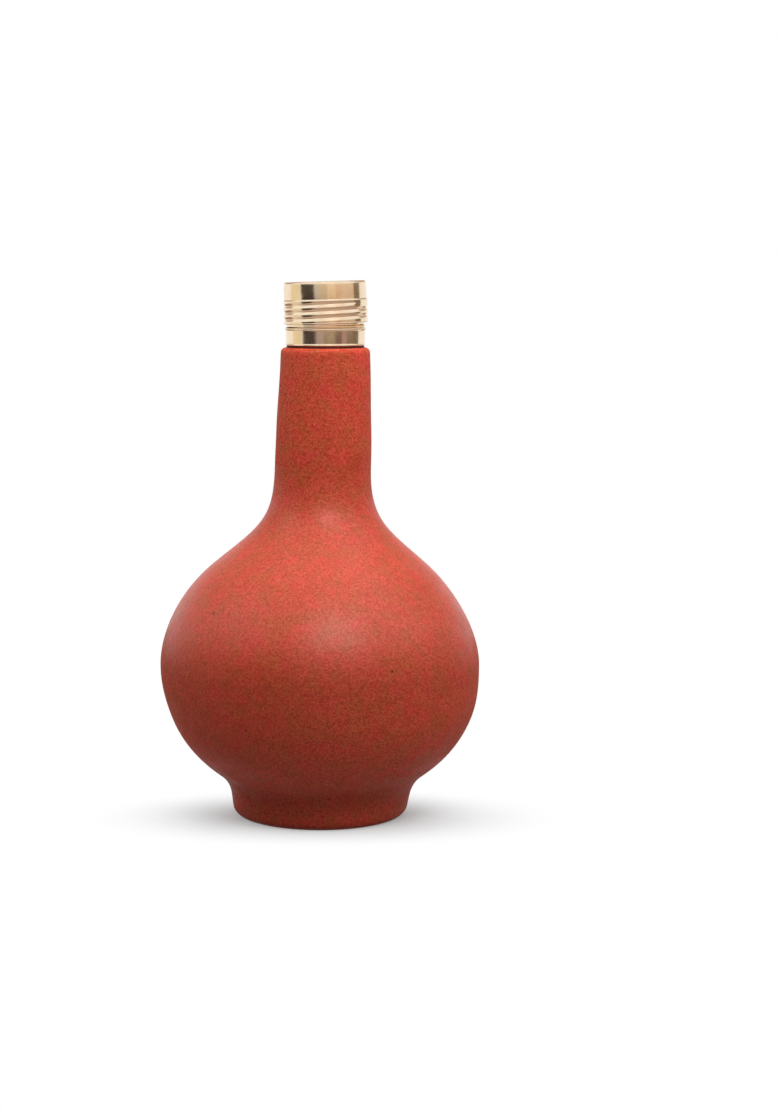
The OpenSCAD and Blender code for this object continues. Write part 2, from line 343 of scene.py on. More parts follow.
@dataclass(frozen=True)
class FiredClay:
    """Unglazed red clay, rubbed smooth: sandy grain, soft mottling, a few dark grits, with
    painted shade and light by height and a painted highlight on the lip.
    """

    base: Colour = (0.50, 0.037, 0.016)
    pale: Colour = (0.65, 0.054, 0.024)
    deep: Colour = (0.33, 0.023, 0.012)
    olive: Colour = (0.36, 0.056, 0.016)
    rose: Colour = (0.67, 0.012, 0.032)
    moss: Colour = (0.28, 0.068, 0.003)
    ash: Colour = (0.80, 0.142, 0.078)
    grit: Colour = (0.06, 0.012, 0.008)
    # Colour of the painted highlight along the lip's edge.
    dust: Colour = (0.70, 0.34, 0.22)
    gloss_tint: Colour = (1.0, 0.88, 0.62)

    cloud: Mottle = Mottle(36 * MM, 2.0, 0.34, 0.66)
    hue: Mottle = Mottle(21.6 * MM, 3.0, 0.38, 0.66, 3.7)
    rosy: Mottle = Mottle(9 * MM, 4.0, 0.40, 0.66, 2.3)
    mossy: Mottle = Mottle(6.5 * MM, 4.0, 0.40, 0.66, 7.9)
    patch: Mottle = Mottle(8 * MM, 3.0, 0.34, 0.66)
    # Specks that break up the painted highlight along the lip's edge.
    chips: Mottle = Mottle(1.1 * MM, 1.0, 0.66, 0.72, 5.1)
    fleck: Spot = Spot((28.0 * MM, -63.3 * MM, 74.4 * MM), 0.62 * MM, 1.05 * MM)
    bruise: Spot = Spot((12.7 * MM, -15.9 * MM, 157.6 * MM), 1.2 * MM, 6.0 * MM)
    smoke: Spot = Spot((-40 * MM, -52 * MM, 58 * MM), 10 * MM, 52 * MM)
    wheel_size: float = 5 * MM
    wheel_scale: Place = (0.10, 0.10, 1.0)
    grain_size: float = 0.9 * MM
    grain_window: Point = (0.28, 0.72)
    sand_size: float = 0.62 * MM
    tint_size: float = 1.5 * MM
    grit_spacing: float = 17 * MM
    grit_window: Point = (0.030, 0.050)

    # Strengths of the layers: cloud, patch and wheel; rose and moss; dark and light.
    tone_shares: Place = (0.48, 0.34, 0.18)
    base_share: float = 0.25
    olive_share: float = 0.36
    hue_share: float = 0.66
    tint_shares: Point = (0.20, 0.26)
    grain_shares: Point = (0.40, 0.30)
    sand_shares: Point = (0.52, 0.34)
    grit_share: float = 0.80
    fleck_share: float = 0.85
    smoke_share: float = 0.20
    bruise_share: float = 0.30
    # Strength of the painted highlight along the lip's edge.
    dust_share: float = 0.60

    # Painted shade and light by height, darkest at the foot and the belly's middle and lightest
    # at the lip: share of the full height, and factor.
    full_height: float = 210 * MM
    tide: tuple[Point, ...] = (
        (0.0, 0.76), (0.07, 0.80), (0.13, 0.94), (0.24, 0.88), (0.34, 0.76), (0.44, 0.86),
        (0.55, 0.92), (0.70, 0.90), (0.86, 0.96), (0.965, 1.0), (0.985, 1.10),
    )
    rubbed_low: Point = (62 * MM, 92 * MM)
    rubbed_high: Point = (122 * MM, 160 * MM)
    # Height band of the painted highlight along the lip's edge.
    dusty: Point = (204.4 * MM, 205.5 * MM)
    wheel_depth: float = 0.10 * MM
    patch_depth: float = 0.12 * MM
    grain_depth: float = 0.16 * MM
    pit_depth: float = 0.20 * MM

    def make(self) -> Finish:
        """Builds the material."""
        mix = Recipe("fired_clay")
        cloud, patch = self.cloud.on(mix), self.patch.on(mix)
        wheel = mix.grain(self.wheel_size, 2.0, mix.moved(Scale=self.wheel_scale))
        grain = mix.grain(self.grain_size, 2.0)
        fine = grain.within(*self.grain_window)
        sand = mix.granules(self.sand_size, 0)
        tint = mix.granules(self.tint_size, 1)
        grit = mix.specks(self.grit_spacing, *self.grit_window)
        dark = grit * self.grit_share + self.fleck.on(mix) * self.fleck_share
        height = mix.axis(2)
        worn = height.within(*self.rubbed_low) * (1 - height.within(*self.rubbed_high))

        by_cloud, by_patch, by_wheel = self.tone_shares
        tone = by_cloud * cloud + by_patch * patch + by_wheel * wheel
        to_rose, to_moss = self.tint_shares
        colour = mix.layered(mix.blend(tone, self.deep, self.pale), (
            (self.base_share, self.base),
            (self.hue.on(mix) * self.olive_share, self.olive),
            (self.rosy.on(mix) * self.hue_share + tint * to_rose, self.rose),
            (self.mossy.on(mix) * self.hue_share + (1 - tint) * to_moss, self.moss),
            ((1 - fine) * self.grain_shares[0], self.deep),
            (fine * self.grain_shares[1], self.ash),
            ((1 - sand) * self.sand_shares[0], self.deep),
            (sand * self.sand_shares[1], self.ash),
            (dark, self.grit),
        ))
        # Painted shade and light by height, multiplied into the colour.
        stops = [(share, (tone, tone, tone)) for share, tone in self.tide]
        level = {0: height * (1 / self.full_height)}
        painted_height_shade = mix.node("ShaderNodeValToRGB", {"stops": stops}, level)
        marks = self.smoke.on(mix) * self.smoke_share + self.bruise.on(mix) * self.bruise_share
        # Painted highlight: pale specks along the lip's rounded edge.
        dusty = height.within(*self.dusty) * self.chips.on(mix) * self.dust_share
        colour = mix.blend(1.0, colour, painted_height_shade, "MULTIPLY")
        colour = mix.layered(colour, ((marks, self.deep), (dusty, self.dust)))

        normal = None
        for relief, depth in (
            (wheel, self.wheel_depth), (patch, self.patch_depth),
            (grain, self.grain_depth), (1 - dark, self.pit_depth),
        ):
            normal = mix.relief(relief, depth, normal)
        return mix.finish({
            "Base Color": colour,
            "Roughness": 0.60 - 0.14 * worn + 0.10 * patch - 0.05 * fine,
            "IOR": 1.45,
            "Specular IOR Level": 0.24,
            "Specular Tint": mix.full(self.gloss_tint),
            "Coat Weight": worn * (0.36 + 0.16 * cloud),
            "Coat Roughness": 0.38,
            "Coat IOR": 1.5,
            "Normal": normal,
        })


@dataclass(frozen=True)
class PolishedSheet:
    """Pale gold sheet metal, polished on the wheel, with hairlines and faint handling marks."""

    name: str
    bright: Colour = (0.92, 0.76, 0.56)
    shaded: Colour = (0.82, 0.62, 0.41)
    hairline: float = 0.25 * MM
    hairline_depth: float = 0.003 * MM
    drift: float = 0.02
    smudge: Mottle = Mottle(6 * MM, 3.0, 0.35, 0.72)
    speck: Mottle = Mottle(0.5 * MM, 1.0, 0.60, 0.72)

    def make(self) -> Finish:
        """Builds the material."""
        mix = Recipe(self.name)
        lines = mix.grain(self.hairline, 2.0, mix.turned(self.drift))
        smudge, speck = self.smudge.on(mix), self.speck.on(mix)
        return mix.finish({
            "Base Color": mix.blend(0.30 * smudge + 0.25 * lines, self.bright, self.shaded),
            "Metallic": 1.0,
            "Roughness": 0.09 + 0.07 * smudge + 0.06 * lines + 0.05 * speck,
            "Normal": mix.relief(lines, self.hairline_depth),
        })


@dataclass(frozen=True)
class DarkBedding:
    """Set bedding compound: dark red-brown, dull, slightly lumpy."""

    dark: Colour = (0.045, 0.010, 0.006)
    light: Colour = (0.12, 0.030, 0.018)
    lump_size: float = 1.4 * MM
    lump_depth: float = 0.12 * MM

    def make(self) -> Finish:
        """Builds the material."""
        mix = Recipe("dark_bedding")
        lumps = mix.grain(self.lump_size, 3.0)
        return mix.finish({
            "Base Color": mix.blend(lumps.within(0.35, 0.70), self.dark, self.light),
            "Roughness": 0.70 + 0.15 * lumps,
            "Normal": mix.relief(lumps, self.lump_depth),
        })


@dataclass(frozen=True)
class SoftSeal:
    """Milky silicone of the sealing disc, with moulding bloom."""

    milk: Colour = (0.78, 0.76, 0.71)
    bloom: Colour = (0.88, 0.87, 0.84)
    haze_size: float = 4 * MM
    haze_depth: float = 0.03 * MM
    glow_depth: Place = (2 * MM, 2 * MM, 1.5 * MM)

    def make(self) -> Finish:
        """Builds the material."""
        mix = Recipe("soft_seal")
        haze = mix.grain(self.haze_size, 3.0)
        return mix.finish({
            "Base Color": mix.blend(haze.within(0.35, 0.65), self.milk, self.bloom),
            "Roughness": 0.42 + 0.20 * haze,
            "IOR": 1.41,
            "Subsurface Weight": 0.15,
            "Subsurface Radius": self.glow_depth,
            "Normal": mix.relief(haze, self.haze_depth),
        })


# Shared modelling


def bezier(start: Point, first: Point, second: Point, end: Point, count: int) -> list[Point]:
    """Points along a curve without its first one.

    Args:
        start: First end.
        first: Control point near the start.
        second: Control point near the end.
        end: Second end.
        count: Number of points.

    Returns:
        The points.
    """
    points = []
    for i in range(1, count + 1):
        t = i / count
        a, b, c, d = (1 - t) ** 3, 3 * (1 - t) ** 2 * t, 3 * (1 - t) * t * t, t ** 3
        points.append(tuple(
            a * start[k] + b * first[k] + c * second[k] + d * end[k] for k in (0, 1)
        ))
    return points


def arc(centre: Point, radius: float, start: float, end: float, count: int) -> list[Point]:
    """Points of a circular arc with both ends, between two angles in degrees."""
    angles = [math.radians(start + (end - start) * i / count) for i in range(count + 1)]
    return [(centre[0] + radius * math.cos(a), centre[1] + radius * math.sin(a)) for a in angles]


def line(start: Point, end: Point, step: float) -> list[Point]:
    """Points along a straight stretch, without its first one.

    Args:
        start: First end.
        end: Last end.
        step: Largest distance between points.

    Returns:
        The points.
    """
    count = max(1, math.ceil(math.dist(start, end) / step))
    way = (end[0] - start[0], end[1] - start[1])
    return [along(start, way, i / count) for i in range(1, count + 1)]


def along(start: Point, way: Point, run: float) -> Point:
    """The point that lies a run from a start, in a direction."""
    return (start[0] + run * way[0], start[1] + run * way[1])


def offset(points: Sequence[Point], gap: float) -> list[Point]:
    """Moves an open outline to its left.

    Args:
        points: The outline, as radius and height.
        gap: Distance that each point moves.

    Returns:
        The moved outline.
    """
    moved = []
    for i, (r, z) in enumerate(points):
        before = points[max(i - 1, 0)]
        after = points[min(i + 1, len(points) - 1)]
        way_r, way_z = after[0] - before[0], after[1] - before[1]
        length = math.hypot(way_r, way_z)
        moved.append((r - gap * way_z / length, z + gap * way_r / length))
    return moved


def smooth_step(value: float) -> float:
    """Rises smoothly from 0 to 1 as the value does, and stays there."""
    t = min(max(value, 0.0), 1.0)
    return t * t * (3 - 2 * t)


def turn_outline(outline: Sequence[Point], steps: int, closed: bool) -> Shape:
    """Spins an outline of radius and height round the Z axis.

    Args:
        outline: The outline. An end on the axis closes the shape there.
        steps: Steps of the full turn.
        closed: Whether the last point joins the first one.

    Returns:
        The turned shape.
    """
    shape = bmesh.new()
    points = [shape.verts.new((r, 0.0, z)) for r, z in outline]
    pairs = list(zip(points, points[1:]))
    if closed:
        pairs.append((points[-1], points[0]))
    edges = [shape.edges.new(pair) for pair in pairs]
    bmesh.ops.spin(
        shape, geom=points + edges, cent=(0, 0, 0), axis=(0, 0, 1),
        angle=TAU, steps=steps, use_merge=True, use_duplicate=False,
    )
    bmesh.ops.remove_doubles(shape, verts=shape.verts, dist=TOUCH)
    bmesh.ops.recalc_face_normals(shape, faces=shape.faces)
    return shape


def push_out(shape: Shape, change: Callable[[Vector], float]) -> None:
    """Moves every point of a shape away from the Z axis or towards it.

    Args:
        shape: The shape.
        change: Change of radius at a place.
    """
    for vert in shape.verts:
        radius = math.hypot(vert.co.x, vert.co.y)
        if radius > TOUCH:
            factor = 1 + change(vert.co) / radius
            vert.co.x *= factor
            vert.co.y *= factor


def add_object(name: str, data: bpy.types.ID) -> Piece:
    """Makes an object and links it to the scene."""
    made = bpy.data.objects.new(name, data)
    bpy.context.scene.collection.objects.link(made)
    return made


def add_mesh(name: str, shape: Shape, material: Finish) -> Piece:
    """Makes an object of a finished shape.

    Args:
        name: Name of the object.
        shape: Its mesh, which is freed.
        material: Its finish.

    Returns:
        The new object, linked to the scene.
    """
    mesh = bpy.data.meshes.new(name)
    shape.to_mesh(mesh)
    shape.free()
    mesh.materials.append(material)
    return add_object(name, mesh)


def add_aimed(name: str, data: bpy.types.ID, place: Place, height: float) -> Piece:
    """Adds a camera or lamp that looks at the bottle's axis.

    Args:
        name: Name of the object.
        data: Its camera or lamp.
        place: Where it stands.
        height: Height on the axis that it looks at.

    Returns:
        The new object, linked to the scene.
    """
    made = add_object(name, data)
    made.location = place
    aim = Vector((0.0, 0.0, height)) - Vector(place)
    made.rotation_euler = aim.to_track_quat("-Z", "Y").to_euler()
    return made


def finish_piece(
    name: str, shape: Shape, material: Finish, body: Body,
    nodes: Sequence[str] = (), subdivisions: int = 0,
) -> Piece:
    """Makes the object of a finished shape, dresses it and ties it to the frame.

    Args:
        name: Name of the piece.
        shape: Its mesh, which is freed.
        material: Its finish.
        body: Body that it rides on.
        nodes: CAD nodes that it stands for.
        subdivisions: Levels of subdivision surface.

    Returns:
        The new object.
    """
    piece = add_mesh(name, shape, material)
    mesh = piece.data
    mesh.polygons.foreach_set("use_smooth", [True] * len(mesh.polygons))
    if subdivisions:
        surface = piece.modifiers.new("surface", "SUBSURF")
        surface.levels = subdivisions
        surface.render_levels = subdivisions
    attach(piece, body.value)
    if nodes:
        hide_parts(*nodes)
    LOG.info("%s: %d faces on %s", name, len(mesh.polygons), body.value)
    return piece


@dataclass(frozen=True)
class Thread:
    """Helical wave that is rolled into a sheet, with its ends faded out."""

    pitch: float = 2.9 * MM
    end_angle: float = math.radians(-30)
    end_height: float = 225.80 * MM
    turns: float = 2.55
    fade: float = 0.14
    softness: float = 0.16

    def wave(self, at: Vector, shift: float = 0.0) -> float:
        """Depth of the wave at a place.

        Args:
            at: The place.
            shift: Share of the pitch by which the wave is moved down.

        Returns:
            1 in the middle of the rolled line, 0 between lines and past its ends.
        """
        around = ((self.end_angle - math.atan2(at.y, at.x)) / TAU) % 1.0
        drop = (self.end_height - at.z) / self.pitch - shift
        wound = round(drop - around) + around
        aside = math.sin(math.pi * (drop - wound))
        crest = math.hypot(1.0, self.softness) - self.softness
        depth = 1 - (math.hypot(aside, self.softness) - self.softness) / crest
        into = smooth_step(wound / self.fade)
        out = smooth_step((self.turns - wound) / self.fade)
        return depth * into * out


# Sub-assemblies


@dataclass
class ClayBody:
    """The thrown clay wall: foot, belly, shoulder, neck, lip and the hidden spigot."""

    material: Finish
    lip_h: float = 206.4 * MM
    belly_r: float = 70.5 * MM
    belly_h: float = 67.0 * MM
    wall: float = 5.5 * MM
    floor: float = 7.5 * MM
    foot_r: float = 38.9 * MM
    foot_h: float = 14.6 * MM
    foot_flare: float = 1.9 * MM
    foot_edge: float = 4.2 * MM
    hollow: float = 6.0 * MM
    rise: float = math.radians(39.2)
    shoulder_r: float = 47.2 * MM
    shoulder_h: float = 111.2 * MM
    slope: float = math.radians(40.6)
    neck_r: float = 21.1 * MM
    neck_h: float = 154.0 * MM
    lip_r: float = 19.5 * MM
    lip_edge: float = 2.3 * MM
    throat_run: float = 9.0 * MM
    mouth_r: float = 12.2 * MM
    spigot_r: float = 15.6 * MM
    spigot_edge: float = 1.1 * MM
    bowl_h: float = 15 * MM
    cavity_gap: float = 2 * MM
    # Reach of a curve's lower and upper control point, as shares of its height.
    low_reach: Point = (0.12, 0.67)
    high_reach: Point = (0.35, 0.38)
    neck_reach: Point = (0.57, 0.55)
    # The bowl's control points and end, as shares of its depth: in, down, in, in.
    bowl_reach: tuple[float, ...] = (0.46, 0.39, 0.85, 1.7)
    flat_row: float = 6 * MM
    hidden_row: float = 4 * MM
    foot_row: float = 2 * MM
    shelf_row: float = 0.8 * MM
    steps: int = 112
    unevenness: float = 0.10 * MM
    swell_h: float = 45 * MM
    swell_rate: float = 1.1
    calm_lip: Point = (3 * MM, 30 * MM)
    calm_foot: float = 6 * MM
    # Sideways drift by height.
    leans: tuple[Point, ...] = (
        (0.0, -2.3 * MM), (22 * MM, -1.5 * MM), (44 * MM, -1.6 * MM), (66 * MM, -2.5 * MM),
        (98 * MM, -2.85 * MM), (142 * MM, -1.3 * MM), (172 * MM, -0.7 * MM), (200 * MM, 0.0),
    )

    def wall_outline(self) -> list[Point]:
        """Outer wall from the foot's edge to the lip's rounding."""
        way = (math.cos(self.rise), math.sin(self.rise))
        foot_top = (self.foot_r + self.foot_flare, self.foot_h)
        lean = math.atan2(self.foot_flare, self.foot_h - self.foot_edge)
        points = arc(
            (self.foot_r - self.foot_edge, self.foot_edge), self.foot_edge,
            -90, -math.degrees(lean), 8,
        )
        wall = (math.sin(lean), math.cos(lean))
        start, low = (along(foot_top, wall, -run) for run in (self.hollow, self.hollow / 3))
        leave, high = (along(foot_top, way, run) for run in (self.hollow, self.hollow / 3))
        points += line(points[-1], start, self.foot_row)
        points += bezier(start, low, high, leave, 12)

        belly = (self.belly_r, self.belly_h)
        near, far = (share * (belly[1] - leave[1]) for share in self.low_reach)
        points += bezier(leave, along(leave, way, near), (belly[0], belly[1] - far), belly, 26)
        turn = (self.shoulder_r, self.shoulder_h)
        back = (-math.cos(self.slope), math.sin(self.slope))
        near, far = (share * (turn[1] - belly[1]) for share in self.high_reach)
        points += bezier(belly, (belly[0], belly[1] + near), along(turn, back, -far), turn, 22)
        root = (self.neck_r, self.neck_h)
        near, far = (share * (root[1] - turn[1]) for share in self.neck_reach)
        points += bezier(turn, along(turn, back, near), (root[0], root[1] - far), root, 20)
        top = (self.lip_r, self.lip_h - self.lip_edge)
        third = (top[1] - root[1]) / 3
        narrowing = (root[0] - top[0]) / 3
        return points + bezier(
            root, (root[0], root[1] + third), (top[0] + narrowing, top[1] - third), top, 18
        )

    def outline(self) -> list[Point]:
        """Whole section, from the axis under the foot round to the axis on the floor."""
        wall = self.wall_outline()
        top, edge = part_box("clay_bottle")[1][2], self.spigot_edge
        lip_centre = (self.lip_r - self.lip_edge, self.lip_h - self.lip_edge)
        lip = arc(lip_centre, self.lip_edge, 15, 90, 6)
        shelf = (self.spigot_r, self.lip_h)
        outer = arc((self.spigot_r - edge, top - edge), edge, 0, 90, 5)
        inner = arc((self.mouth_r + edge, top - edge), edge, 90, 180, 5)
        points = line((0.0, 0.0), wall[0], self.flat_row) + wall[1:] + lip
        points += line(lip[-1], shelf, self.shelf_row)
        points += line(shelf, outer[0], self.hidden_row)[:-1] + outer + inner
        throat = (self.mouth_r, self.lip_h - self.throat_run)
        low = (self.lip_r - self.wall, self.lip_h - 2 * self.throat_run)
        half = self.throat_run / 2
        points += line(inner[-1], throat, self.hidden_row)
        points += bezier(throat, (throat[0], throat[1] - half), (low[0], low[1] + half), low, 8)
        lowest, highest = self.floor + self.bowl_h, low[1] - self.cavity_gap
        cavity = [p for p in offset(wall, self.wall) if lowest < p[1] < highest][::2]
        points += cavity[::-1]
        bowl = cavity[0]
        near, down, far, run = (share * (bowl[1] - self.floor) for share in self.bowl_reach)
        points += bezier(
            bowl, (bowl[0] - near, bowl[1] - down),
            (bowl[0] - far, self.floor), (bowl[0] - run, self.floor), 12,
        )
        return [(0.0, 0.0)] + points + line(points[-1], (0.0, self.floor), self.flat_row)

    def lean_at(self, height: float) -> float:
        """Sideways drift of the thrown wall at a height."""
        stations = self.leans
        for (low, a), (high, b) in zip(stations, stations[1:]):
            if height <= high:
                return a + (b - a) * smooth_step((height - low) / (high - low))
        return stations[-1][1]

    def swell(self, at: Vector) -> float:
        """Slight unevenness of the radius at a place, none at the lip and the foot."""
        radius = math.hypot(at.x, at.y)
        below, run = self.calm_lip
        calm = smooth_step((self.lip_h - below - at.z) / run) * smooth_step(at.z / self.calm_foot)
        around = Vector((at.x / radius, at.y / radius, at.z / self.swell_h))
        return self.unevenness * noise.noise(around * self.swell_rate) * calm

    def build(self) -> Piece:
        """Builds the clay wall, with the unevenness and drift of hand work."""
        shape = turn_outline(self.outline(), self.steps, closed=False)
        push_out(shape, self.swell)
        for vert in shape.verts:
            vert.co.x += self.lean_at(vert.co.z)
        return finish_piece(
            "clay_wall", shape, self.material, Body.BOTTLE, ["clay_bottle"], 1
        )


@dataclass
class RolledSheet:
    """A sheet-metal shell with a thread rolled into it."""

    name: str
    material: Finish
    thread: Thread = Thread()
    sheet: float = 0.5 * MM
    steps: int = 168
    row: float = 0.15 * MM
    hem_r: float = 0.42 * MM
    # The hem's first and last angle in degrees, and its steps.
    hem_turn: tuple[float, float, int] = (145, 395, 14)
    hem_clear: float = 1.05

    def path(self) -> list[Point]:
        """Middle line of the sheet, from the hem on."""
        raise NotImplementedError

    def rise(self, at: Vector) -> float:
        """Change of radius that the rolled thread makes at a place."""
        raise NotImplementedError

    def shell(self, closed: bool) -> Shape:
        """Turned sheet with a round hem at its path's start and its thread rolled in.

        Args:
            closed: Whether the section keeps clear of the axis.

        Returns:
            The shape.
        """
        path = self.path()
        outer, inner = (
            [p for p in offset(path, gap) if math.dist(p, path[0]) > self.hem_r * self.hem_clear]
            for gap in (-self.sheet / 2, self.sheet / 2)
        )
        section = arc(path[0], self.hem_r, *self.hem_turn) + outer + inner[::-1]
        shape = turn_outline(section, self.steps, closed)
        push_out(shape, self.rise)
        return shape


@dataclass
class NeckRing(RolledSheet):
    """Threaded ring: hem, skirt, stop bead, rolled ridges and the mouth over the spigot."""

    thread: Thread = Thread(turns=3.45)
    skirt_row: float = 0.4 * MM
    flat_row: float = 0.6 * MM
    ridge_shift: float = 0.5
    ridge_fade: float = 0.5 * MM
    skirt_r: float = 17.15 * MM
    skirt_taper: float = 0.18 * MM
    wall_r: float = 16.60 * MM
    ridge_rise: float = 0.60 * MM
    bead_rise: float = 0.30 * MM
    bead_z: float = 214.6 * MM
    bead_w: float = 1.5 * MM
    bend_r: float = 1.2 * MM
    lip_r: float = 11.85 * MM
    lip_run: float = 2.5 * MM

    def path(self) -> list[Point]:
        """Middle line of the sheet, from the hem to the lip inside the mouth."""
        low, top = (corner[2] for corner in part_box("neck_ring"))
        flat = top - self.sheet / 2
        bend = flat - self.bend_r
        points = [(self.skirt_r, low + self.hem_r)]
        points += line(points[0], (self.skirt_r, self.bead_z - self.bead_w), self.skirt_row)
        points += line(points[-1], (self.skirt_r, bend), self.row)
        points = [(self._wall(z), z) for _, z in points]
        points += arc((self.wall_r - self.bend_r, bend), self.bend_r, 0, 90, 8)[1:]
        inner = (self.lip_r + self.bend_r, flat)
        points += line(points[-1], inner, self.flat_row)[:-1]
        points += arc((inner[0], bend), self.bend_r, 90, 180, 8)
        return points + line(points[-1], (self.lip_r, bend - self.lip_run), self.flat_row)

    def _wall(self, height: float) -> float:
        """Radius of the unrolled wall: skirt, stop bead, then the threaded wall."""
        rise = (height - self.bead_z) / (self.bead_w / 2)
        bead = self.bead_rise * (1 + math.cos(math.pi * min(max(rise, -1.0), 1.0))) / 2
        step = smooth_step(rise)
        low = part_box("neck_ring")[0][2]
        down = min(max((self.bead_z - height) / (self.bead_z - low), 0.0), 1.0)
        skirt = self.skirt_r - self.skirt_taper * down
        return skirt + (self.wall_r - skirt) * step + bead

    def rise(self, at: Vector) -> float:
        """Height of the rolled ridges, which start above the stop bead."""
        clear = smooth_step((at.z - self.bead_z - self.bead_w / 2) / self.ridge_fade)
        return self.ridge_rise * self.thread.wave(at, self.ridge_shift) * clear

    def build(self) -> Piece:
        """Builds the ring."""
        shape = self.shell(closed=True)
        return finish_piece(self.name, shape, self.material, Body.BOTTLE, ["neck_ring"])


@dataclass(frozen=True)
class Seat:
    """How the closed cap sits on its thread: a little crooked, its right side higher."""

    lean: float = math.radians(1.7)
    pivot: float = 226.0 * MM

    def settle(self, shape: Shape) -> None:
        """Leans a shape that sits with the cap."""
        bmesh.ops.rotate(
            shape, verts=shape.verts, cent=(0, 0, self.pivot),
            matrix=Matrix.Rotation(-self.lean, 3, "Y"),
        )


@dataclass
class ScrewCap(RolledSheet):
    """Drawn cap: hemmed rim, rolled grooves, smooth band, soft top edge, slight crown."""

    seat: Seat = Seat()
    band_r: float = 17.75 * MM
    ridge_r: float = 18.10 * MM
    groove_depth: float = 0.45 * MM
    band_h: float = 8.0 * MM
    band_ease: float = 0.16 * MM
    ease_h: float = 5.0 * MM
    step_h: float = 0.6 * MM
    band_row: float = 0.5 * MM
    top_row: float = 1.2 * MM
    bend_r: float = 0.72 * MM
    bend_start: float = 4.0
    hem_r: float = 0.30 * MM
    crown: float = 0.12 * MM

    def path(self) -> list[Point]:
        """Middle line of the sheet, from the hemmed rim to the middle of the top."""
        low, top = (corner[2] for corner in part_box("screw_cap"))
        flat = top - self.sheet / 2
        shoulder = top - self.band_h
        centre = (self.band_r - self.band_ease - self.bend_r, flat - self.bend_r)
        bend = arc(centre, self.bend_r, self.bend_start, 90, 10)
        points = [(self.ridge_r, low + self.hem_r)]
        points += line(points[0], (self.ridge_r, shoulder + self.step_h), self.row)
        points += line(points[-1], (self.ridge_r, bend[0][1]), self.band_row)[:-1]
        points = [(self._wall(z, shoulder, bend[0][1]), z) for _, z in points] + bend
        points += line(points[-1], (0.0, flat), self.top_row)
        return [
            (r, z - self.crown * smooth_step(1 - r / self.band_r) if r < bend[-1][0] else z)
            for r, z in points
        ]

    def _wall(self, height: float, shoulder: float, bend: float) -> float:
        """Radius of the unrolled wall: threaded part, then the band with its easing.

        Args:
            height: Height of the place.
            shoulder: Height where the threaded part turns into the band.
            bend: Height where the bend to the top starts.

        Returns:
            The radius.
        """
        step = smooth_step((height - shoulder) / self.step_h + 0.5)
        ease = max(height - (bend - self.ease_h), 0.0) / self.ease_h
        return self.ridge_r + (self.band_r - self.ridge_r) * step - self.band_ease * ease ** 2

    def rise(self, at: Vector) -> float:
        """Depth of the rolled grooves."""
        return -self.groove_depth * self.thread.wave(at)

    def build(self) -> Piece:
        """Builds the cap."""
        shape = self.shell(closed=False)
        self.seat.settle(shape)
        return finish_piece(self.name, shape, self.material, Body.CAP, ["screw_cap"])


@dataclass
class Bedding:
    """The dark bedding under and behind the ring, pressed out a little unevenly."""

    material: Finish
    show_r: float = 16.9 * MM
    skin: float = 0.3 * MM
    bulge_r: float = 0.35 * MM
    foot_gap: float = 0.02 * MM
    ring_gap: float = 0.05 * MM
    inner_r: float = 15.65 * MM
    sleeve_r: float = 16.05 * MM
    fill_r: float = 16.6 * MM
    fill_h: float = 5.0 * MM
    fill_slope: float = 0.5 * MM
    steps: int = 120
    uneven: float = 0.10 * MM
    lump: float = 2.5 * MM

    def swell(self, at: Vector) -> float:
        """Unevenness of the line that shows under the ring."""
        if math.hypot(at.x, at.y) <= self.show_r - self.skin:
            return 0.0
        return self.uneven * noise.noise(at * (1 / self.lump))

    def build(self) -> Piece:
        """Builds the bedding."""
        low, high = (corner[2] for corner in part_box("ring_adhesive"))
        ring_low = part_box("neck_ring")[0][2]
        side = self.show_r - self.bulge_r
        bulge = arc((side, (low + ring_low) / 2), self.bulge_r, -90, 90, 6)[1:-1]
        fill_top = ring_low + self.fill_h
        shape = turn_outline([
            (self.inner_r, low), (side, low + self.foot_gap), *bulge,
            (side, ring_low - self.ring_gap), (self.fill_r, ring_low), (self.fill_r, fill_top),
            (self.sleeve_r, fill_top + self.fill_slope), (self.sleeve_r, high),
            (self.inner_r, high),
        ], self.steps, closed=True)
        push_out(shape, self.swell)
        return finish_piece(
            "ring_bedding", shape, self.material, Body.BOTTLE, ["ring_adhesive"]
        )


@dataclass
class SealingDisc:
    """Moulded sealing disc with a rounded edge and a shallow ring where it meets the mouth."""

    material: Finish
    seat: Seat = Seat()
    edge_r: float = 0.45 * MM
    mark_r: float = 13.9 * MM
    mark_w: float = 1.3 * MM
    mark_depth: float = 0.18 * MM
    mark_row: float = 0.35 * MM
    top_row: float = 2 * MM
    steps: int = 112

    def build(self) -> Piece:
        """Builds the disc."""
        low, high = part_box("cap_liner")
        edge = self.edge_r
        side = high[0] - edge
        under = line((0.0, low[2]), (side, low[2]), self.mark_row)
        rim = arc((side, low[2] + edge), edge, -90, 0, 6)[1:]
        rim += arc((side, high[2] - edge), edge, 0, 90, 6)
        outline = [(0.0, low[2])] + [(r, z + self._mark(r)) for r, z in under] + rim
        outline += line(rim[-1], (0.0, high[2]), self.top_row)
        shape = turn_outline(outline, self.steps, closed=False)
        self.seat.settle(shape)
        return finish_piece(
            "sealing_disc", shape, self.material, Body.LINER, ["cap_liner"]
        )

    def _mark(self, radius: float) -> float:
        """Depth of the mark that the ring's mouth has pressed into the underside."""
        away = min(abs(radius - self.mark_r) / self.mark_w, 1.0)
        return self.mark_depth * (1 + math.cos(math.pi * away)) / 2


# Studio


